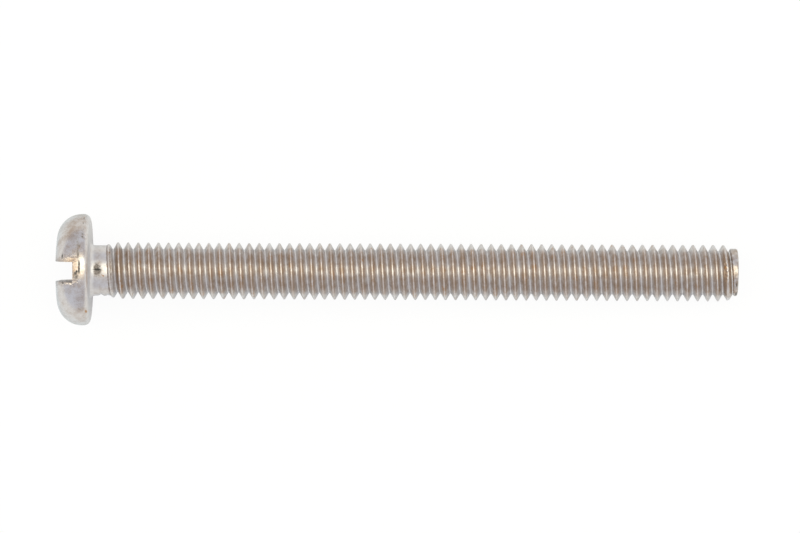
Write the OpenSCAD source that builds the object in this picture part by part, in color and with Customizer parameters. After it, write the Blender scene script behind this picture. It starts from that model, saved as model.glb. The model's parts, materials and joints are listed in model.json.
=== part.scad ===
// A slotted pan head machine screw, M4 x 45 with a 0.7 mm right-hand thread.
// It lies on its side as it comes to rest, on the rim of its head and the last
// full turn of its thread. The head is at -X, the point at +X, and +Z is up.

/* [Thread] */
// Outside diameter of the thread
thread_d = 3.93; // [3.8:0.01:4.6]
// Distance from one crest to the next
pitch = 0.7; // [0.6:0.05:0.8]
// Height of the crest above the root, as a share of the pitch
depth_share = 0.67; // [0.5:0.01:0.7]
// Width of the flat on the crest, as a share of the pitch
flat_share = 0.13; // [0.06:0.01:0.15]
// Turns over which the thread fades out towards the head
runout_turns = 1; // [0.5:0.1:2]
// Turn of the thread about the screw's axis, in degrees
thread_turn = 318; // [0:1:359]
// Straight sides that make one turn of the thread
turn_sides = 22; // [16:2:22]

/* [Shank] */
// Length from under the head to the end of the point
length = 44.9; // [20:0.1:50]
// Diameter of the plain neck under the head
neck_d = 3.5; // [3.3:0.02:3.6]
// Length of the plain neck
neck_len = 1.16; // [0.9:0.02:3]
// Radius in the corner between neck and head
neck_fillet = 0.34; // [0.2:0.01:0.36]
// Length over which the last turns round off at the point
point_len = 1.25; // [0.8:0.05:1.5]
// Radius of the curve that rounds off the point
point_r = 1.85; // [1.6:0.05:4]

/* [Head] */
// Diameter of the head
head_d = 7.73; // [7:0.05:9]
// Height of the head
head_h = 2.39; // [2.3:0.01:3]
// Radius of the nearly flat crown
crown_r = 24; // [20:1:40]
// Radius of the rounding between crown and side
shoulder_r = 1.7; // [1.5:0.05:1.8]
// Radius of the lower edge of the head
edge_r = 0.47; // [0.1:0.01:0.5]
// How far the head sits off the shank's axis
head_shift = 0.05; // [0:0.01:0.1]

/* [Slot] */
// Width of the driver slot
slot_w = 1.43; // [1:0.01:1.6]
// Depth of the driver slot below the crown
slot_depth = 1.36; // [0.8:0.01:1.4]
// How far the slot sits off the shank's axis
slot_shift = -0.03; // [-0.2:0.01:0.2]
// Turn of the slot about the screw's axis, in degrees
slot_turn = 1.6; // [-5:0.1:5]

/* [Hidden] */
$fn = 96;

head_r = head_d / 2;
crest_r = thread_d / 2;
neck_r = neck_d / 2;
total_len = head_h + length;

// Thread section: the flank angle is 60 degrees.
depth = depth_share * pitch;
root_r = crest_r - depth;
flat_w = flat_share * pitch;
flank_w = depth * tan(30);
turn_step = 360 / turn_sides;

// The threaded rod starts inside the neck, a little thinner than the neck, and
// runs on past the point, where it is cut off. Each end is a plain turn long.
thread_start = head_h + neck_len;
hidden_r = neck_r - 0.01;
first_crest = thread_turn / 360 * pitch;
rod_start = first_crest + ceil((thread_start - 1.2 * pitch - first_crest) / pitch) * pitch;
rod_steps = ceil((total_len + 1.2 * pitch - rod_start) / pitch * turn_sides);
cap_gap = 0.2 * pitch;
cut_off = 3 * pitch;

// Head section: the crown and the shoulder are arcs that meet as tangents.
shoulder_x = head_r - shoulder_r;
shoulder_z = crown_r - sqrt(pow(crown_r - shoulder_r, 2) - pow(shoulder_x, 2));
crown_x = shoulder_x * crown_r / (crown_r - shoulder_r);

// Resting position: the table touches the lower edge of the head and the lowest
// of the last crests, where a flat side of the thread faces down.
edge_x = head_r - edge_r;
edge_z = head_h - edge_r;
last_turn = floor((total_len - first_crest) / pitch);
rest_tilt = min([for (back = [0 : 4]) tilt_on(first_crest + (last_turn - back) * pitch + flat_w / 2)]);
rest_height = edge_z * sin(rest_tilt) + edge_x * cos(rest_tilt) + edge_r;

// Tilt of the screw when it rests on its head and on a crest edge at height z.
function tilt_on(z) =
    let (
        foot_r = min(crest_r, point_limit(z)) * cos(turn_step / 2),
        reach = norm([z - edge_z, edge_x - foot_r])
    )
    atan2(edge_x - foot_r, z - edge_z) + asin(edge_r / reach);

// How far the thread has risen out of the neck, from 0 to 1.
function rise(z) = min(1, max(0, (z - thread_start) / (runout_turns * pitch)));

// Radius that the rounded point allows.
function point_limit(z) =
    let (past = min(max(0, z - total_len + point_len), point_len))
    crest_r - point_r + sqrt(pow(point_r, 2) - pow(past, 2));

// Radius of the threaded rod, where level is 1 on the crest and 0 in the root.
function rod_r(z, level) =
    z > total_len + pitch ? root_r :
    min(point_limit(z), hidden_r + rise(z) * (root_r + level * depth - hidden_r));

// One point of the rod: step counts round the helix, and corner up the section.
function rod_point(step, corner) =
    let (
        angle = (step + 0.5) * turn_step,
        offset = [-flat_w / 2, flat_w / 2, flat_w / 2 + flank_w, pitch - flat_w / 2 - flank_w],
        level = [1, 1, 0, 0],
        z = rod_start + angle / 360 * pitch + offset[corner],
        r = rod_r(z, level[corner])
    )
    [r * cos(angle), r * sin(angle), z];

// Number of a rod point. Corner 4 is corner 0 of the turn above.
function rod_id(step, corner) =
    corner == 4 ? rod_id(step + turn_sides, 0) :
    step <= rod_steps ? 4 * step + corner :
    4 * rod_steps + 3 + step - rod_steps;

function cap_ring(step, z) =
    [for (i = [0 : turn_sides - 1])
        let (p = rod_point(step + i, 0))
        [p.x, p.y, z]];

// A closed rod with a helical thread, from inside the neck to past the point.
module threaded_rod() {
    helix = concat(
        [for (s = [0 : rod_steps], c = [0 : 3]) rod_point(s, c)],
        [for (s = [rod_steps + 1 : rod_steps + turn_sides]) rod_point(s, 0)]
    );
    low = len(helix);
    high = low + turn_sides;
    last = turn_sides - 1;
    points = concat(
        helix,
        cap_ring(0, helix[0].z - cap_gap),
        cap_ring(rod_steps, helix[low - 1].z + cap_gap)
    );
    sheet = [for (s = [0 : rod_steps - 1], c = [0 : 3], half = [0, 1])
        half == 0
            ? [rod_id(s, c), rod_id(s, c + 1), rod_id(s + 1, c + 1)]
            : [rod_id(s, c), rod_id(s + 1, c + 1), rod_id(s + 1, c)]];
    low_skirt = [for (i = [0 : last - 1], half = [0, 1])
        half == 0
            ? [low + i, rod_id(i, 0), rod_id(i + 1, 0)]
            : [low + i, rod_id(i + 1, 0), low + i + 1]];
    low_seam = concat(
        [[low + last, rod_id(last, 0), rod_id(0, 4)]],
        [for (c = [3 : -1 : 0]) [low + last, rod_id(0, c + 1), rod_id(0, c)]],
        [[low + last, rod_id(0, 0), low]]
    );
    high_skirt = [for (i = [1 : last], half = [0, 1])
        let (next = high + (i + 1) % turn_sides)
        half == 0
            ? [rod_id(rod_steps + i, 0), high + i, next]
            : [rod_id(rod_steps + i, 0), next, rod_id(rod_steps + i + 1, 0)]];
    high_seam = concat(
        [for (c = [0 : 3])
            [rod_id(rod_steps + 1, 0), rod_id(rod_steps, c), rod_id(rod_steps, c + 1)]],
        [[rod_id(rod_steps + 1, 0), rod_id(rod_steps, 4), high]],
        [[rod_id(rod_steps + 1, 0), high, high + 1]]
    );
    caps = [
        [for (i = [0 : last]) low + i],
        [for (i = [last : -1 : 0]) high + i]
    ];
    polyhedron(points, concat(sheet, low_skirt, low_seam, high_skirt, high_seam, caps), 10);
}

module thread() {
    difference() {
        threaded_rod();
        translate([-thread_d, -thread_d, total_len])
            cube([2 * thread_d, 2 * thread_d, cut_off]);
    }
}

// Half section of the head, with the crown at the origin.
module head_section() {
    // crown
    intersection() {
        translate([0, crown_r])
            circle(crown_r, $fn = 720);
        square([crown_x, edge_z]);
    }
    // shoulder, which lies inside the circle of the crown
    intersection() {
        translate([shoulder_x, shoulder_z])
            circle(shoulder_r);
        square([head_r, shoulder_z]);
    }
    // side
    translate([0, shoulder_z])
        square([head_r, edge_z - shoulder_z]);
    // lower edge
    translate([0, edge_z])
        square([edge_x, edge_r]);
    intersection() {
        translate([edge_x, edge_z])
            circle(edge_r);
        translate([edge_x, edge_z])
            square(edge_r);
    }
}

module head() {
    difference() {
        translate([0, head_shift, 0])
            rotate_extrude()
                head_section();
        rotate([0, 0, slot_turn])
            translate([-head_d, slot_shift - slot_w / 2, -head_h])
                cube([2 * head_d, slot_w, head_h + slot_depth]);
    }
}

// Plain neck with a small fillet under the head.
module neck() {
    rotate_extrude() {
        translate([0, head_h - neck_fillet])
            square([neck_r, neck_len + neck_fillet]);
        difference() {
            translate([neck_r - neck_fillet, head_h - neck_fillet])
                square(2 * neck_fillet);
            translate([neck_r + neck_fillet, head_h + neck_fillet])
                circle(neck_fillet);
        }
    }
}

module machine_screw() {
    color("rosybrown")
        translate([-total_len * cos(rest_tilt) / 2, 0, rest_height])
            rotate([0, 90 + rest_tilt, 0]) {
                head();
                neck();
                thread();
            }
}

machine_screw();
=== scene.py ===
# A slotted pan head machine screw on a white table. The screw is one closed mesh:
# a turned head with a sawn slot, a plain neck and a rolled thread, all worn.
# Shapes are worked out in millimetres along the screw's own axis, and then laid
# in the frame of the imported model, in metres.

import json
import math

import bmesh
import bpy
from mathutils import Matrix, Vector, noise


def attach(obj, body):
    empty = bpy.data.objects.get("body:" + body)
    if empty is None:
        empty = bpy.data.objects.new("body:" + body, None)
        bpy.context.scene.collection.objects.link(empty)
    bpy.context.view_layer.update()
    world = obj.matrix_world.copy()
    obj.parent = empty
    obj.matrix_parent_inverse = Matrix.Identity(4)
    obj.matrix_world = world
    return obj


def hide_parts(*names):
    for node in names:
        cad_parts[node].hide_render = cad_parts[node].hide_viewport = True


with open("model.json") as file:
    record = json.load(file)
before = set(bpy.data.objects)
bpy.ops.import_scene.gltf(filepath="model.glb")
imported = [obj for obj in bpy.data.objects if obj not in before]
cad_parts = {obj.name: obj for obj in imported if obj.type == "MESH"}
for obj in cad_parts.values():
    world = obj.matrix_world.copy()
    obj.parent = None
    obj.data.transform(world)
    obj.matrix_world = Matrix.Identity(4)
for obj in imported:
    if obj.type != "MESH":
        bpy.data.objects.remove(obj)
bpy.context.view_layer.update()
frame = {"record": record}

MM = 0.001

# Sizes of the head, neck and slot, in millimetres from the crown
HEAD_D = 7.73
HEAD_H = 2.39
CROWN_R = 24
SHOULDER_R = 1.7
EDGE_R = 0.44
HEAD_SHIFT = 0.05
TOTAL_LEN = 47.29
NECK_D = 3.5
NECK_FILLET = 0.34
SLOT_W = 1.43
SLOT_DEPTH = 1.36
SLOT_SHIFT = -0.03
SLOT_TURN = 1.6

# The saw's path: half its length, its height above the crown, and its cells along
# x, y and z
SAW_REACH = 4.6
SAW_ABOVE = 0.6
SAW_STEPS = (60, 16, 12)

# Marks at the slot's edge: height of the burr, depth of the sides pushed over at
# the back and the front, and a crevice below the slot's end
BURR = 0.045
PUSHED_BACK = 0.052
PUSHED_FRONT = 0.03
CREVICE_Z = 1.835
CREVICE_Y = 0.2
CREVICE_DEPTH = 0.035

# Sizes of the thread, which rises out of the neck and ends in a rounded point
THREAD_D = 3.93
PITCH = 0.7
THREAD_DEPTH = 0.469
FLANK_ANGLE = math.radians(60)
CREST_ROUND = 0.068
ROOT_ROUND = 0.068
THREAD_TURN = 318
THREAD_START = 3.64
START_SLOPE = 0.115
RUNOUT = 0.5
POINT_LEN = 1.25
POINT_R = 1.85

# The first turn's open lips: their greatest distance, the height above the thread's
# start where they end, in pitches, and the turn of their widest place, in radians
LIP = 0.2
LIP_END = 0.6
LIP_TURN = 0.09

# The squashed end: its radius, its place off the axis, its rounded rim, the plain
# land behind the rim, which slants like the thread and lies a little lower, and the
# slope up to it. The last crest is squashed from SQUASH_START before the land on.
END_R = 1.645
END_SHIFT = 0.06
END_ROUND = 0.15
END_LAND = 0.36
LAND_SLANT = 0.14
LAND_DROP = 0.02
LAND_RAMP = 0.07
SQUASH_START = 0.25
SQUASH_RAMP = 0.15

# The end face, a shallow dish: shares of the end's radius, and heights past the end
DISH = ((0.86, 0.006), (0.79, -0.005), (0.64, -0.03), (0.43, -0.045), (0.2, -0.05))

HEAD_R = HEAD_D / 2
NECK_R = NECK_D / 2
CREST_R = THREAD_D / 2
ROOT_R = CREST_R - THREAD_DEPTH
FIRST_CREST = THREAD_TURN / 360 * PITCH

# Where the roundings of crest and root end, as distances from the crest
CREST_END = CREST_ROUND * math.sin(FLANK_ANGLE)
ROOT_END = PITCH / 2 - ROOT_ROUND * math.sin(FLANK_ANGLE)

# Arcs of the head's profile: crown, shoulder and lower edge
SHOULDER_X = HEAD_R - SHOULDER_R
SHOULDER_Z = CROWN_R - math.sqrt((CROWN_R - SHOULDER_R) ** 2 - SHOULDER_X**2)
CROWN_ANGLE = math.asin(SHOULDER_X / (CROWN_R - SHOULDER_R))
EDGE_X = HEAD_R - EDGE_R
EDGE_Z = HEAD_H - EDGE_R

# Columns round the thread, and three times as many round the head, the neck and
# both ends of the thread. The fine rings run from NECK_Z to FINE_END and from TIP_Z
# to the end.
COLUMNS = 72
FINE = 3 * COLUMNS
NECK_Z = 3.36
FINE_END = 4.62
TIP_Z = 46.25
FINE_STEP = 0.028

# Edges bent by more than this look sharp
SHARP_ANGLE = math.radians(50)

# Sides of the screw, as angles round its axis. The table is at 0.
FRONT = -90
TOP = 180

# Dents in the front of the neck: distance from the crown, width and depth
NECK_DENTS = ((3.13, 0.13, 0.10), (3.60, 0.07, 0.06), (3.36, 0.07, -0.02))
NECK_DENT_ARC = 26

# A battered stretch of the last crest but one, and a seam behind the rim: their
# middles as angles, and their widths in degrees
KNOCK_SIDE = TOP - 4
KNOCK_ARC = 24
SEAM_Z = 47.10
SEAM_SIDE = TOP + 5
SEAM_ARC = 30


def screw_frame():
    """The screw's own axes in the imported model: x down, y across, z to the point."""
    mounts = {m["name"]: m for m in frame["record"]["mounts"]}
    axis = Vector(mounts["head_seat"]["axis"]).normalized()
    across = Vector((0, 1, 0))
    down = across.cross(axis)
    seat = Vector(mounts["head_seat"]["pos_m"])
    crown = seat - axis * HEAD_H * MM
    crown.y = 0
    return Matrix((down, across, axis)).transposed(), crown


AXES, CROWN = screw_frame()


def place(x, y, z):
    """A point given in the screw's own millimetres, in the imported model."""
    return CROWN + AXES @ Vector((x, y, z)) * MM


def wave(x, y, z, size):
    """Smooth noise from -1 to 1 with lumps of that size in millimetres."""
    return noise.noise(Vector((x, y, z)) / size)


def clamp(value, low=0.0, high=1.0):
    """The value, held between the two limits."""
    return max(low, min(high, value))


def hump(distance, width):
    """A soft bump of height 1, which has faded at about twice its width."""
    return math.exp(-((distance / width) ** 2))


def from_side(angle, side):
    """How far an angle in radians is from a side of the screw, in degrees."""
    return (math.degrees(angle) - side + 180) % 360 - 180


def new_object(name, bm):
    """A mesh object in the scene. The bmesh is used up."""
    mesh = bpy.data.meshes.new(name)
    bm.to_mesh(mesh)
    bm.free()
    made = bpy.data.objects.new(name, mesh)
    bpy.context.scene.collection.objects.link(made)
    return made


# Neck and thread


def thread_section(away):
    """Radius of the thread at a distance from the crest, with round crest and root."""
    away = abs(away)
    if away < CREST_END:
        return CREST_R - CREST_ROUND + math.sqrt(CREST_ROUND**2 - away**2)
    if away > ROOT_END:
        return ROOT_R + ROOT_ROUND - math.sqrt(ROOT_ROUND**2 - (PITCH / 2 - away) ** 2)
    return CREST_R - CREST_ROUND / 2 - (away - CREST_END) * math.tan(FLANK_ANGLE)


def crest_away(turn, z):
    """Distance along the axis from the nearest crest."""
    crest = (z - FIRST_CREST) / PITCH - turn
    return (crest - round(crest)) * PITCH


def open_lip(angle, z, away):
    """How far the first turn's second lip lies beyond its crest, as a share of LIP."""
    if z - away >= THREAD_START + PITCH * LIP_END:
        return 0
    return clamp(-math.cos(angle + LIP_TURN))


def past_start(angle, z):
    """Distance along the axis from the crease where the thread starts."""
    return z - THREAD_START + START_SLOPE * math.sin(angle)


def end_radius(angle):
    """Radius of the squashed end, which sits a little off the axis."""
    return END_R + END_SHIFT * math.sin(angle)


def land_start(angle):
    """Height where the land behind the rim starts. It follows the thread's last root."""
    return TOTAL_LEN - END_LAND - LAND_SLANT * math.sin(angle)


def end_land(angle, z):
    """Radius of the land that the rolled end fills up behind its rim."""
    rise = clamp((z - land_start(angle) + LAND_RAMP) / LAND_RAMP)
    return ROOT_R + (end_radius(angle) - LAND_DROP - ROOT_R) * rise


def point_limit(angle, z):
    """Radius that the rounded point allows. The last crest is squashed behind the rim."""
    past = clamp(z - TOTAL_LEN + POINT_LEN, 0, POINT_LEN)
    limit = CREST_R - POINT_R + math.sqrt(POINT_R**2 - past**2)
    squash = clamp((z - land_start(angle) + SQUASH_START) / SQUASH_RAMP)
    limit += (end_radius(angle) - limit) * squash
    corner = clamp(z - TOTAL_LEN + END_ROUND, 0, END_ROUND)
    return limit - END_ROUND + math.sqrt(END_ROUND**2 - corner**2)


def battered(angle, away, z):
    """How far a point is in the battered stretch of the last crest but one."""
    if z < TIP_Z + 0.05 or z > TOTAL_LEN - 0.5:
        return 0
    return hump(from_side(angle, KNOCK_SIDE), KNOCK_ARC) * hump(away, 0.15)


def shank_radius(turn, z):
    """Radius of the neck and thread at an angle in turns, with its wear."""
    angle = turn * 2 * math.pi
    x, y = math.cos(angle) * CREST_R, math.sin(angle) * CREST_R
    away = crest_away(turn, z)
    knock = battered(angle, away, z)
    away -= knock * (0.06 + 0.10 * wave(x, y, z, 0.2))
    past = past_start(angle, z)
    rise = clamp((past + 0.1) / RUNOUT)
    radius = NECK_R + rise * (thread_section(away) - NECK_R)
    # on the first turn the crest's two lips lie open, with a groove between them
    opening = open_lip(angle, z, away) * clamp(past / 0.04)
    if opening > 0.1:
        beyond = max(abs(away - LIP * opening) - 0.02, 0)
        radius = max(radius, NECK_R + 0.09 - 2.6 * beyond)
        radius -= opening * 0.07 * hump(away - LIP / 2 * opening, 0.04)
    # the crest is a seam of two uneven lips, with a faint groove between them
    uneven = 0.010 * wave(x, y, z, 0.21) + 0.008 * wave(x, y, z, 0.8)
    radius += hump(away, 0.06) * rise * uneven
    radius -= hump(away, 0.024) * rise * (0.008 + 0.014 * wave(x, y, z + 9, 1.1))
    # crease where the thread starts
    radius -= 0.04 * hump(past, 0.022)
    front = hump(from_side(angle, FRONT), NECK_DENT_ARC)
    for dent_z, width, depth in NECK_DENTS:
        radius -= front * depth * hump(z - dent_z, width)
    radius -= knock * (0.04 + 0.05 * wave(x, y, z, 0.15))
    radius = max(radius, end_land(angle, z))
    radius = min(radius, point_limit(angle, z) + 0.01 * wave(x, y, z, 0.25))
    seam = hump(z - SEAM_Z, 0.03) * hump(from_side(angle, SEAM_SIDE), SEAM_ARC)
    return radius - 0.03 * seam


def shank_point(turn, z):
    """A point on the neck or thread at an angle in turns."""
    angle = turn * 2 * math.pi
    radius = shank_radius(turn, z)
    return Vector((math.cos(angle) * radius, math.sin(angle) * radius, z))


def add_thread(bm):
    """The thread as a sheet that winds along the helix, clamped at both ends."""
    half = [CREST_END * 0.55, CREST_END, ROOT_END]
    half += [ROOT_END + (PITCH / 2 - ROOT_END) * share for share in (0.28, 0.64)]
    rows = [-h for h in reversed(half)] + [0] + half + [PITCH / 2]
    first_turn = math.floor((FINE_END - FIRST_CREST) / PITCH) - 1
    last_turn = math.ceil((TIP_Z - FIRST_CREST) / PITCH) + 1
    columns = []
    for column in range(COLUMNS):
        turn = column / COLUMNS
        verts = []
        for crest in range(first_turn, last_turn + 1):
            for row in rows:
                z = clamp(FIRST_CREST + (crest + turn) * PITCH + row, FINE_END, TIP_Z)
                verts.append(bm.verts.new(shank_point(turn, z)))
        columns.append(verts)
    for column in range(COLUMNS):
        seam = len(rows) if column == COLUMNS - 1 else 0
        here, there = columns[column], columns[(column + 1) % COLUMNS]
        for row in range(len(here) - 1 - len(rows)):
            low, high = row + seam, row + seam + 1
            corners = (here[row], there[low], there[high], here[row + 1])
            clamped = here[row].co.z == here[row + 1].co.z
            if clamped and there[low].co.z == there[high].co.z:
                continue
            bm.faces.new(corners)


def add_ring(bm, count, z):
    """A ring of points on the neck or thread at one height."""
    return [bm.verts.new(shank_point(i / count, z)) for i in range(count)]


def join_rings(bm, low, high):
    """Faces between two rings with the same number of points."""
    for i in range(len(low)):
        j = (i + 1) % len(low)
        bm.faces.new((low[i], low[j], high[j], high[i]))


def stitch(bm, fine, coarse):
    """Faces between a ring and one with a third of its points."""
    for i in range(len(coarse)):
        a, b, c, d = (fine[(3 * i + k) % len(fine)] for k in range(4))
        e, f = coarse[i], coarse[(i + 1) % len(coarse)]
        for corners in ((a, b, e), (b, f, e), (b, c, f), (c, d, f)):
            bm.faces.new(corners)


def add_fine_rings(bm, plain_z, coarse_z):
    """Fine rings between two heights, stitched at the second to the thread's sheet."""
    way = coarse_z - plain_z
    steps = round(abs(way) / FINE_STEP)
    rings = [add_ring(bm, FINE, plain_z + way * i / steps) for i in range(steps)]
    for low, high in zip(rings, rings[1:]):
        join_rings(bm, low, high)
    stitch(bm, rings[-1], add_ring(bm, COLUMNS, coarse_z))
    return rings[0]


def add_end_face(bm, rim):
    """The end of the point: a shallow uneven dish inside the rim."""
    for share, rise in DISH:
        ring = []
        for i in range(len(rim)):
            angle = 2 * math.pi * i / len(rim)
            x, y = math.cos(angle) * END_R * share, math.sin(angle) * END_R * share
            z = TOTAL_LEN + rise + 0.012 * wave(x, y, 0, 0.35)
            ring.append(bm.verts.new((x, y, z)))
        join_rings(bm, rim, ring)
        rim = ring
    middle = bm.verts.new((0, 0, TOTAL_LEN + DISH[-1][1]))
    for i in range(len(rim)):
        bm.faces.new((rim[i], rim[(i + 1) % len(rim)], middle))


# Head


def head_profile():
    """Radius and height of each ring of the head and neck, from the crown outwards."""
    rings = []
    for i in range(1, 11):
        angle = CROWN_ANGLE * i / 10
        rings.append((CROWN_R * math.sin(angle), CROWN_R - CROWN_R * math.cos(angle)))
    for i in range(1, 25):
        angle = CROWN_ANGLE + (math.pi / 2 - CROWN_ANGLE) * i / 24
        radius = SHOULDER_X + SHOULDER_R * math.sin(angle)
        rings.append((radius, SHOULDER_Z - SHOULDER_R * math.cos(angle)))
    rings += [(HEAD_R, SHOULDER_Z + (EDGE_Z - SHOULDER_Z) * i / 4) for i in range(1, 4)]
    for i in range(11):
        angle = math.pi / 2 * i / 10
        radius = EDGE_X + EDGE_R * math.cos(angle)
        rings.append((radius, EDGE_Z + EDGE_R * math.sin(angle)))
    inner = NECK_R + NECK_FILLET
    rings += [(EDGE_X + (inner - EDGE_X) * i / 4, HEAD_H) for i in range(1, 5)]
    for i in range(1, 7):
        angle = math.pi / 2 * i / 6
        radius = inner - NECK_FILLET * math.sin(angle)
        rings.append((radius, HEAD_H + NECK_FILLET * (1 - math.cos(angle))))
    low = HEAD_H + NECK_FILLET
    rings += [(NECK_R, low + (NECK_Z - low) * i / 8) for i in range(1, 9)]
    return rings


def make_head():
    """Head and neck as a closed turned mesh, which ends where the fine rings start."""
    bm = bmesh.new()
    rings = []
    for radius, z in head_profile():
        shift = HEAD_SHIFT * clamp((radius - NECK_R) / 0.5) if z > EDGE_Z else HEAD_SHIFT
        ring = []
        for i in range(FINE):
            angle = 2 * math.pi * i / FINE
            r = radius
            if radius == NECK_R:
                r = shank_radius(i / FINE, z)
            x, y = r * math.cos(angle), r * math.sin(angle) + shift
            ring.append(bm.verts.new((x, y, z)))
        rings.append(ring)
    crown = bm.verts.new((0, HEAD_SHIFT, 0))
    for i in range(FINE):
        bm.faces.new((rings[0][(i + 1) % FINE], rings[0][i], crown))
    for low, high in zip(rings, rings[1:]):
        join_rings(bm, low, high)
    bm.faces.new(rings[-1])
    return new_object("head", bm)


def make_cutter():
    """The saw's path: a bar that crosses the head, scored along its walls and floor."""
    bm = bmesh.new()
    low = Vector((-SAW_REACH, SLOT_SHIFT - SLOT_W / 2, -SAW_ABOVE))
    high = Vector((SAW_REACH, SLOT_SHIFT + SLOT_W / 2, SLOT_DEPTH))
    bmesh.ops.create_cube(bm, size=1)
    for v in bm.verts:
        v.co = Vector((low[i] + (v.co[i] + 0.5) * (high[i] - low[i]) for i in range(3)))
    for i, count in enumerate(SAW_STEPS):
        for step in range(1, count):
            cut = low.copy()
            cut[i] += (high[i] - low[i]) * step / count
            normal = Vector((i == 0, i == 1, i == 2))
            geom = bm.verts[:] + bm.edges[:] + bm.faces[:]
            bmesh.ops.bisect_plane(bm, geom=geom, plane_co=cut, plane_no=normal)
    for v in bm.verts:
        x, y, z = v.co
        score = 0.022 * wave(x * 0.2, y, z, 0.11) + 0.012 * wave(x, y, z, 0.3)
        if z > SLOT_DEPTH - 0.001:
            v.co.z += score
        elif abs(y - SLOT_SHIFT) > SLOT_W / 2 - 0.001:
            v.co.y += 0.5 * score
    turn = Matrix.Rotation(math.radians(SLOT_TURN), 3, "Z")
    bmesh.ops.rotate(bm, verts=bm.verts, cent=(0, 0, 0), matrix=turn)
    return new_object("cutter", bm)


def cut_slot(head, cutter):
    """The head's mesh with the slot sawn out."""
    cut = head.modifiers.new("slot", "BOOLEAN")
    cut.operation = "DIFFERENCE"
    cut.solver = "EXACT"
    cut.object = cutter
    bpy.context.view_layer.update()
    evaluated = head.evaluated_get(bpy.context.evaluated_depsgraph_get())
    mesh = bpy.data.meshes.new_from_object(evaluated)
    bpy.data.objects.remove(head)
    bpy.data.objects.remove(cutter)
    return mesh


def slot_distance(x, y, z):
    """Distance from the slot's edge over the outside of the head."""
    turn = math.radians(-SLOT_TURN)
    across = x * math.sin(turn) + y * math.cos(turn) - SLOT_SHIFT
    beside = abs(across) - SLOT_W / 2
    below = z - SLOT_DEPTH
    if below > 0:
        return math.hypot(max(beside, 0), below)
    return max(beside, 0)


def outward(x, y, z):
    """Direction out of the head's rounded outside, and the distance from it."""
    radius = math.hypot(x, y - HEAD_SHIFT)
    around = Vector((x, y - HEAD_SHIFT, 0)) / max(radius, 1e-6)
    if radius < SHOULDER_X:
        return Vector((0, 0, -1)), z
    arm = Vector((radius - SHOULDER_X, min(z - SHOULDER_Z, 0)))
    out = around * arm.x + Vector((0, 0, arm.y))
    return out.normalized(), SHOULDER_R - arm.length


def refine_head(bm):
    """Halves the faces on top of the head's side, for its small marks."""

    def marked(v):
        on_top = v.co.x < -0.5 and 0.35 < v.co.z < EDGE_Z + 0.42
        return on_top and outward(*v.co)[1] < 0.03

    edges = [e for e in bm.edges if marked(e.verts[0]) and marked(e.verts[1])]
    bmesh.ops.subdivide_edges(bm, edges=edges, cuts=1, use_grid_fill=True)


def raise_burrs(bm):
    """Marks of the saw: the slot's sides are pushed over, and its ends have a burr."""
    for v in bm.verts:
        x, y, z = v.co
        if z > EDGE_Z:
            continue
        out, deep = outward(x, y, z)
        if deep > 0.03:
            continue
        torn = 0.55 + 0.9 * wave(x, y, z, 0.17)
        end = clamp((math.hypot(x, y) - SHOULDER_X) / 0.4)
        away = slot_distance(x, y, z)
        pushed = end * clamp((SLOT_DEPTH + 0.1 - z) / 0.2)
        v.co += out * BURR * hump(away, 0.12) * torn * (0.35 + 0.65 * end) * (1 - pushed)
        worn = PUSHED_BACK * hump(away, 0.2) if y > 0 else PUSHED_FRONT * hump(away, 0.1)
        v.co -= out * pushed * worn
        # the torn metal folds over in a crevice below the slot's end
        crevice = hump(z - CREVICE_Z, 0.045) * hump(y - CREVICE_Y, 0.42)
        v.co -= out * CREVICE_DEPTH * crevice * (1 if x < 0 else 0.4)


# Stains, specks, painted shade and painted reflections seen from above, in millimetres:
# distance from the crown, place across, length, width, strength
GRIME_AND_SHADE = (
    (0.64, 0.98, 0.05, 0.20, 0.85),
    (0.69, -0.88, 0.07, 0.05, 0.95),
    # painted shade: this row and the next two darken the crevice below the slot's end and
    # its upper reach
    (CREVICE_Z, 0.44, 0.055, 0.22, 1.0),
    (CREVICE_Z, 0.02, 0.055, 0.20, 1.0),
    (1.76, 0.92, 0.11, 0.18, 0.12),
    (1.67, -0.06, 0.07, 0.08, 0.9),
    (1.56, -0.18, 0.12, 0.10, 0.55),
    (1.74, -0.36, 0.15, 0.15, 0.24),
    (1.56, -0.48, 0.20, 0.24, 0.42),
    (1.74, 1.15, 0.09, 0.40, 0.46),
    (1.66, 2.00, 0.12, 0.50, 0.32),
    (2.02, 3.60, 0.07, 0.08, 0.50),
    (2.02, 3.25, 0.05, 0.07, 0.45),
    (2.05, 2.82, 0.05, 0.08, 0.42),
    (2.01, 2.52, 0.08, 0.08, 0.56),
    (2.02, 2.30, 0.08, 0.07, 0.60),
    (1.92, 2.33, 0.05, 0.05, 0.45),
    (2.20, 2.19, 0.06, 0.06, 0.50),
    (1.84, 1.70, 0.08, 0.13, 0.45),
    # painted reflection, partly a faint tool mark: this row and the next two draw a dark
    # arc where the head's reflection turns from the grey surround to the white table
    (0.72, -1.53, 0.03, 0.30, 0.32),
    (1.01, -2.22, 0.04, 0.22, 0.30),
    (1.35, -2.55, 0.16, 0.04, 0.32),
    (1.77, -1.13, 0.05, 0.06, 0.36),
    # painted reflection, partly a faint tool mark: the end of the same dark arc
    (1.80, -2.68, 0.12, 0.06, 0.38),
    # painted reflection: the next two rows are the dark core of the camera's reflection
    # on top of the neck
    (2.96, 0.065, 0.27, 0.065, 1.2),
    (2.97, -0.075, 0.20, 0.045, 0.6),
    (5.90, -0.25, 0.06, 0.06, 0.9),
    (31.96, -0.17, 0.06, 0.06, 0.9),
    (34.09, -0.20, 0.06, 0.06, 0.9),
    (46.66, 0.95, 0.07, 0.22, 0.45),
    (47.10, -0.05, 0.03, 0.28, 0.45),
    (47.16, -0.80, 0.05, 0.20, 0.7),
    (47.16, -1.42, 0.05, 0.12, 1.0),
)
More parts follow.
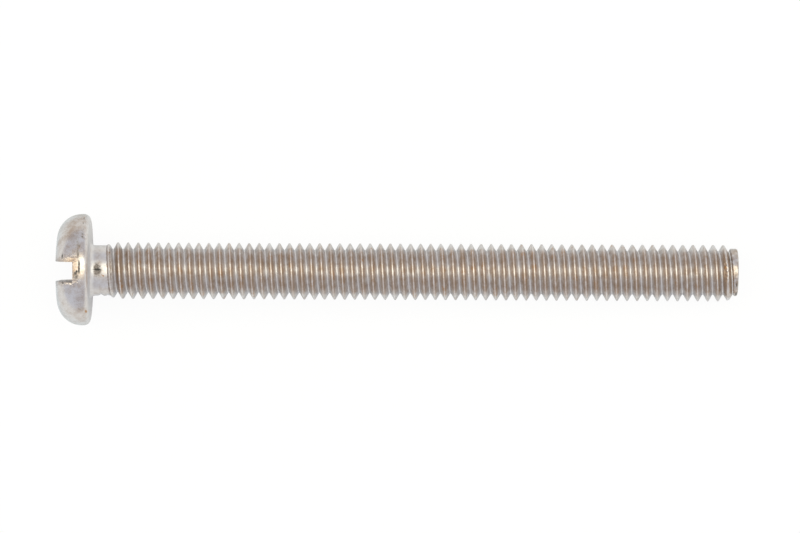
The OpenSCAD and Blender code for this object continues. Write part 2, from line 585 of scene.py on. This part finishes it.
RUST = (
    (2.02, 3.66, 0.06, 0.08, 0.6),
    (2.235, -2.83, 0.09, 0.11, 0.9),
    (2.10, 2.30, 0.22, 0.35, 0.3),
    (1.80, 1.60, 0.12, 0.25, 0.35),
    (1.81, -2.68, 0.20, 0.12, 0.35),
    (3.24, -0.30, 0.06, 0.04, 0.6),
    (3.38, -0.37, 0.08, 0.05, 0.95),
    (2.355, 0.10, 0.035, 0.70, 0.42),
    (2.355, -0.85, 0.03, 0.60, 0.45),
    (4.56, -0.72, 0.08, 0.08, 0.5),
    (21.26, 0.81, 0.06, 0.09, 0.7),
    (21.21, 1.36, 0.05, 0.08, 0.5),
    (21.90, 1.63, 0.06, 0.08, 0.6),
    (23.31, 1.21, 0.06, 0.10, 0.6),
    (32.30, 1.86, 0.07, 0.08, 0.5),
    (34.43, 1.66, 0.05, 0.20, 0.5),
    (45.93, -0.16, 0.05, 0.12, 0.5),
    (46.35, 0.40, 0.08, 0.16, 0.8),
)


def spot_strength(spots, x, y, z):
    """Strength of the dirt, rust, painted shade and painted reflections at a point. They
    are on top, where x is negative.
    """
    if x > 0:
        return 0
    total = 0
    for spot_z, across, length, width, strength in spots:
        if abs(z - spot_z) < 3 * length and abs(y - across) < 3 * width:
            total += strength * hump(z - spot_z, length) * hump(y - across, width)
    return min(total, 1)


def head_state(x, y, z):
    """The steel of the head: brown patches, strongest on its side and round the slot."""
    radius = math.hypot(x, y)
    side = clamp((radius - SHOULDER_X) / SHOULDER_R)
    tarnish = 0.07 + 0.32 * side + 0.32 * wave(x, y, z, 0.8) - 0.12 * clamp(-y)
    torn = 0.0
    if z < EDGE_Z:
        torn = hump(slot_distance(x, y, z), 0.32) * clamp((radius - SHOULDER_X) / 0.4)
        tarnish += 0.3 * torn
    if z < EDGE_Z and outward(x, y, z)[1] > 0.06:
        # the inside of the slot is dull and scored
        return {"tarnish": tarnish + 0.35, "film": 0.5, "torn": 0.3, "rough": 0.6}
    # the ring under the head is clean, with a thin film
    under = clamp((z - EDGE_Z - 0.2) / 0.2)
    return {
        "tarnish": tarnish * (1 - 0.9 * under),
        "film": 0.6 * under,
        "torn": torn - 0.05 * under,
        "rough": 0.35 * under,
    }


def neck_state(x, y, z):
    """The steel of the neck: evenly matt, with a dull dark patch on top that is partly
    dirt and partly the camera's dark reflection, painted.
    """
    smudge_and_reflection = 0
    # painted reflection: the camera's dark reflection on top of the neck, partly dirt,
    # laid on as dark, dull steel
    if x < 0:
        smudge_and_reflection = clamp(1.7 * hump(z - 2.94, 0.30) * hump(y - 0.07, 0.44))
    return {
        "tarnish": 0.18 + 0.25 * smudge_and_reflection,
        "film": 0.15 + 0.6 * smudge_and_reflection,
        "grime_and_shade": 0.42 * smudge_and_reflection,
        "rough": 0.35 + 0.5 * smudge_and_reflection,
    }


def rust_beside_crest(x, y, z, away, level):
    """Rust in the angle beside each crest, in patches, and less of it near the point."""
    beside = hump(abs(away) - 0.09, 0.06) * clamp(level / 0.5)
    beside *= 0.45 if z > TIP_Z - 0.4 else 1
    return beside * clamp(0.21 + 0.55 * wave(x, y, z, 0.9) + 0.5 * wave(x, y, z, 0.3))


def thread_state(x, y, z):
    """The steel of the thread: brown flanks, partly tarnish and partly painted shade,
    clean roots and crests, and its marks.
    """
    angle = math.atan2(y, x)
    radius = math.hypot(x, y)
    past = past_start(angle, z)
    away = crest_away(angle / (2 * math.pi), z)
    top = max(min(CREST_R, point_limit(angle, z)) - ROOT_R, 0.05)
    level = clamp((radius - ROOT_R) / top)
    side = clamp((abs(y) / CREST_R - 0.62) / 0.25)
    flank = clamp((level - 0.04) / 0.12) * clamp((1.02 - level) / 0.15)
    flank *= clamp((past - 0.3) / 0.5, 0.15, 1) * (1 - 0.9 * side)
    crest = clamp((level - 0.6) / 0.3)
    opening = open_lip(angle, z, away)
    groove = opening * hump(away - LIP / 2 * opening, 0.035)
    state = {
        # painted shade: the flanks' brown is partly tarnish and partly the darker,
        # browner light bounced between the flanks
        "tarnish": 0.04 + 1.05 * flank + 0.14 * level + 0.2 * wave(x, y, z, 0.4),
        "film": 0.54 + 0.14 * flank - 0.26 * clamp((level - 0.85) / 0.1),
        "grime_and_shade": max(0.42 * hump(past - 0.01, 0.025), 0.4 * groove),
        "rust": max(0.45 * hump(past - 0.02, 0.03), 0.4 * groove),
        "torn": max(0.18 * crest, 0.5 * battered(angle, away, z)),
        "rough": 0.3 * crest,
    }
    state["rust"] = max(state["rust"], rust_beside_crest(x, y, z, away, level))
    on_land = ROOT_R + 0.04 < radius < end_radius(angle) + 0.02
    if on_land and z > land_start(angle) - 0.03:
        state.update(tarnish=0.5 + 0.4 * wave(x, y, z, 0.3), film=0.12, rough=0.15)
    return state


# What the material reads at each point of the mesh, mostly from 0 to 1
STATES = ("tarnish", "film", "grime_and_shade", "rust", "torn", "rough")


def surface_state(x, y, z):
    """The steel at a point, with the dirt, rust and painted shade on it, in the order of
    STATES.
    """
    if z < HEAD_H + NECK_FILLET:
        state = head_state(x, y, z)
    elif past_start(math.atan2(y, x), z) < -0.03:
        state = neck_state(x, y, z)
    else:
        state = thread_state(x, y, z)
    state["grime_and_shade"] = max(state.get("grime_and_shade", 0), spot_strength(GRIME_AND_SHADE, x, y, z))
    state["rust"] = max(state.get("rust", 0), spot_strength(RUST, x, y, z))
    state["tarnish"] = clamp(state["tarnish"])
    return [state.get(name, 0) for name in STATES]


def make_screw():
    """The whole screw as one closed mesh, with the state of its steel at each point."""
    bm = bmesh.new()
    bm.from_mesh(cut_slot(make_head(), make_cutter()))
    refine_head(bm)
    raise_burrs(bm)
    cap = [f for f in bm.faces if all(abs(v.co.z - NECK_Z) < 1e-5 for v in f.verts)]
    bmesh.ops.delete(bm, geom=cap, context="FACES_ONLY")
    add_thread(bm)
    add_fine_rings(bm, NECK_Z, FINE_END)
    add_end_face(bm, add_fine_rings(bm, TOTAL_LEN, TIP_Z))
    bmesh.ops.remove_doubles(bm, verts=bm.verts, dist=1e-4)
    loose = [v for v in bm.verts if not v.link_faces]
    bmesh.ops.delete(bm, geom=loose, context="VERTS")
    bmesh.ops.recalc_face_normals(bm, faces=bm.faces)
    for face in bm.faces:
        face.smooth = True
    for edge in bm.edges:
        if edge.calc_face_angle(0) > SHARP_ANGLE:
            edge.smooth = False
    layers = [bm.verts.layers.float.new(name) for name in STATES]
    for v in bm.verts:
        for layer, value in zip(layers, surface_state(*v.co)):
            v[layer] = value
        v.co = place(*v.co)
    return new_object("screw", bm)


# Steel


class Nodes:
    """Short calls that add nodes to a material and link them."""

    def __init__(self, material):
        material.use_nodes = True
        self.tree = material.node_tree

    def add(self, kind, inputs=(), **settings):
        """A node, with each input linked to another node's output or set to a value."""
        node = self.tree.nodes.new(kind)
        for name, value in settings.items():
            setattr(node, name, value)
        for name, value in dict(inputs).items():
            if isinstance(value, bpy.types.NodeSocket):
                self.tree.links.new(value, node.inputs[name])
            else:
                node.inputs[name].default_value = value
        return node

    def attribute(self, name):
        """One of the mesh's STATES."""
        return self.add("ShaderNodeAttribute", attribute_name=name).outputs["Fac"]

    def noise(self, size, detail=3):
        """Noise from 0 to 1 with lumps of that size in millimetres."""
        where = self.add("ShaderNodeTexCoord").outputs["Object"]
        inputs = {"Vector": where, "Scale": 1 / (size * MM), "Detail": detail}
        return self.add("ShaderNodeTexNoise", inputs).outputs["Fac"]

    def sums(self, value, factor, offset=0.0):
        """value * factor + offset"""
        inputs = {0: value, 1: factor, 2: offset}
        return self.add("ShaderNodeMath", inputs, operation="MULTIPLY_ADD").outputs[0]

    def product(self, first, second):
        """first * second"""
        inputs = {0: first, 1: second}
        return self.add("ShaderNodeMath", inputs, operation="MULTIPLY").outputs[0]

    def larger(self, first, second):
        """The larger of the two."""
        inputs = {0: first, 1: second}
        return self.add("ShaderNodeMath", inputs, operation="MAXIMUM").outputs[0]

    def limits(self, value, low, high):
        """0 below low, 1 above high"""
        inputs = {"Value": value, "From Min": low, "From Max": high}
        node = self.add("ShaderNodeMapRange", inputs, interpolation_type="SMOOTHSTEP")
        return node.outputs[0]

    def mix(self, share, first, second):
        """The first colour, and the second where the share is 1."""
        inputs = {0: share, 6: first, 7: second}
        return self.add("ShaderNodeMix", inputs, data_type="RGBA").outputs[2]


# Colours of the steel, what lies on it, the shade painted on it, and its mirror at a
# glancing angle
CLEAN = (0.615, 0.592, 0.608, 1)
TARNISH_AND_SHADE_COLOUR = (0.325, 0.234, 0.178, 1)
GRIME_AND_SHADE_COLOUR = (0.035, 0.03, 0.025, 1)
RUST_COLOUR = (0.38, 0.20, 0.085, 1)
GLANCING = (0.86, 0.93, 1, 1)


def steel_material():
    """Bright plated steel, tarnished brown in patches, with painted shade on the thread's
    flanks, dirt, painted dark shade and reflections, and specks of rust.
    """
    material = bpy.data.materials.new("plated steel")
    n = Nodes(material)
    shader = n.tree.nodes["Principled BSDF"]
    patches = n.noise(0.4)
    grain = n.noise(0.12, detail=2)
    # noise breaks up each state's edge
    tarnish = n.sums(patches, 0.8, n.sums(n.attribute("tarnish"), 1.0, -0.65))
    tarnish = n.limits(n.sums(grain, 0.5, tarnish), -0.1, 1.0)
    rust = n.sums(grain, 0.8, n.sums(n.attribute("rust"), 1.6, -0.6))
    rust = n.limits(rust, 0.0, 1.0)
    grime_and_shade = n.sums(grain, 0.7, n.sums(n.attribute("grime_and_shade"), 1.5, -0.45))
    grime_and_shade = n.limits(grime_and_shade, 0.0, 1.0)
    # painted shade: the brown is tarnish, and on the thread's flanks also the shade of
    # light bounced between them; the near black is dirt, and also painted shade and
    # painted dark reflections
    colour = n.mix(tarnish, CLEAN, TARNISH_AND_SHADE_COLOUR)
    colour = n.mix(rust, colour, RUST_COLOUR)
    colour = n.mix(grime_and_shade, colour, GRIME_AND_SHADE_COLOUR)
    n.tree.links.new(colour, shader.inputs["Base Color"])
    torn = n.attribute("torn")
    film = n.attribute("film")
    # film, dirt and the painted shade hide the metal's shine
    dull = n.larger(n.sums(film, 0.7), grime_and_shade)
    n.tree.links.new(n.sums(dull, -0.9, 1.0), shader.inputs["Metallic"])
    rough = n.sums(n.attribute("rough"), 0.2, n.sums(patches, 0.2, 0.16))
    rough = n.sums(dull, 0.2, rough)
    n.tree.links.new(rough, shader.inputs["Roughness"])
    shader.inputs["Specular Tint"].default_value = GLANCING
    # torn steel is lumpy, the rest only finely scuffed
    fine = n.product(n.sums(torn, 1.2, 0.06), n.noise(0.07, detail=2))
    height = n.sums(n.product(torn, n.noise(0.16, detail=2)), 2.5, fine)
    bump = n.add("ShaderNodeBump", {"Height": height, "Distance": 0.02 * MM})
    n.tree.links.new(bump.outputs[0], shader.inputs["Normal"])
    return material


# The camera looks square at the screw's axis, which lies level in the picture but
# for a small roll in degrees. Distances and places are in millimetres.
VIEW_DISTANCE = 345
PICTURE_WIDTH = 800
SENSOR_WIDTH = 36
PIXELS_PER_MM = 14.403
MIDDLE_Z = 23.871
MIDDLE_UP = 0.368
ROLL = 0.258


def add_camera():
    """The camera, straight above the screw and turned by a small roll."""
    axis, across = AXES.col[2], AXES.col[1]
    back = -AXES.col[0]
    roll = math.radians(ROLL)
    right = axis * math.cos(roll) + across * math.sin(roll)
    up = across * math.cos(roll) - axis * math.sin(roll)
    target = place(0, MIDDLE_UP, MIDDLE_Z)
    data = bpy.data.cameras.new("camera")
    data.sensor_width = SENSOR_WIDTH
    data.lens = SENSOR_WIDTH * VIEW_DISTANCE * PIXELS_PER_MM / PICTURE_WIDTH
    data.clip_start = 0.01
    data.clip_end = 50
    camera = bpy.data.objects.new("camera", data)
    facing = Matrix((right, up, back)).transposed().to_4x4()
    camera.matrix_world = Matrix.Translation(target + back * VIEW_DISTANCE * MM) @ facing
    bpy.context.scene.collection.objects.link(camera)
    bpy.context.scene.camera = camera


# The table: its half width in metres, its colour, and how much of its glow the
# camera and the metal's mirror see
FLOOR_REACH = 4
FLOOR_COLOUR = (0.76, 0.76, 0.77, 1)
GLOW_SEEN = 0.93
GLOW_MIRRORED = 0.2


def add_floor():
    """A white table. Its glow gives the photo's white background, also in the metal."""
    bm = bmesh.new()
    bmesh.ops.create_grid(bm, x_segments=1, y_segments=1, size=FLOOR_REACH)
    floor = new_object("floor", bm)
    material = bpy.data.materials.new("white table")
    n = Nodes(material)
    n.tree.nodes.clear()
    path = n.add("ShaderNodeLightPath").outputs
    diffuse = n.add("ShaderNodeBsdfDiffuse", {"Color": FLOOR_COLOUR})
    glow = n.add("ShaderNodeEmission", {"Strength": 1.0})
    share = n.sums(path["Is Glossy Ray"], GLOW_MIRRORED)
    share = n.sums(path["Is Camera Ray"], GLOW_SEEN, share)
    inputs = {0: share, 1: diffuse.outputs[0], 2: glow.outputs[0]}
    mix = n.add("ShaderNodeMixShader", inputs)
    n.add("ShaderNodeOutputMaterial", {"Surface": mix.outputs[0]})
    floor.data.materials.append(material)


# A long soft strip lamp along the screw, a little to the back of it: its height in
# metres, and the angles from straight up to its edges and its ends
LAMP_HEIGHT = 1.0
LAMP_FRONT = -14
LAMP_BACK = 30
LAMP_REACH = 81
LAMP_COLOUR = (1, 0.96, 0.69)
LAMP_LEVEL = 1.9
WORLD_COLOUR = (0.92, 0.95, 1, 1)
WORLD_LEVEL = 0.87


def add_lights():
    """The strip lamp and an even pale surround."""
    angles = (LAMP_FRONT, LAMP_BACK, LAMP_REACH)
    front, back, reach = (LAMP_HEIGHT * math.tan(math.radians(angle)) for angle in angles)
    data = bpy.data.lights.new("strip lamp", "AREA")
    data.shape = "RECTANGLE"
    data.size = 2 * reach
    data.size_y = back - front
    data.color = LAMP_COLOUR
    data.energy = LAMP_LEVEL * math.pi * data.size * data.size_y
    lamp = bpy.data.objects.new("strip lamp", data)
    lamp.location = (0, (front + back) / 2, LAMP_HEIGHT)
    bpy.context.scene.collection.objects.link(lamp)
    world = bpy.data.worlds.new("studio")
    world.use_nodes = True
    background = world.node_tree.nodes["Background"]
    background.inputs["Color"].default_value = WORLD_COLOUR
    background.inputs["Strength"].default_value = WORLD_LEVEL
    bpy.context.scene.world = world


add_camera()
add_floor()
add_lights()
screw = make_screw()
screw.data.materials.append(steel_material())
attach(screw, "root")
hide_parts("machine_screw")

bpy.context.scene.view_settings.view_transform = "Standard"
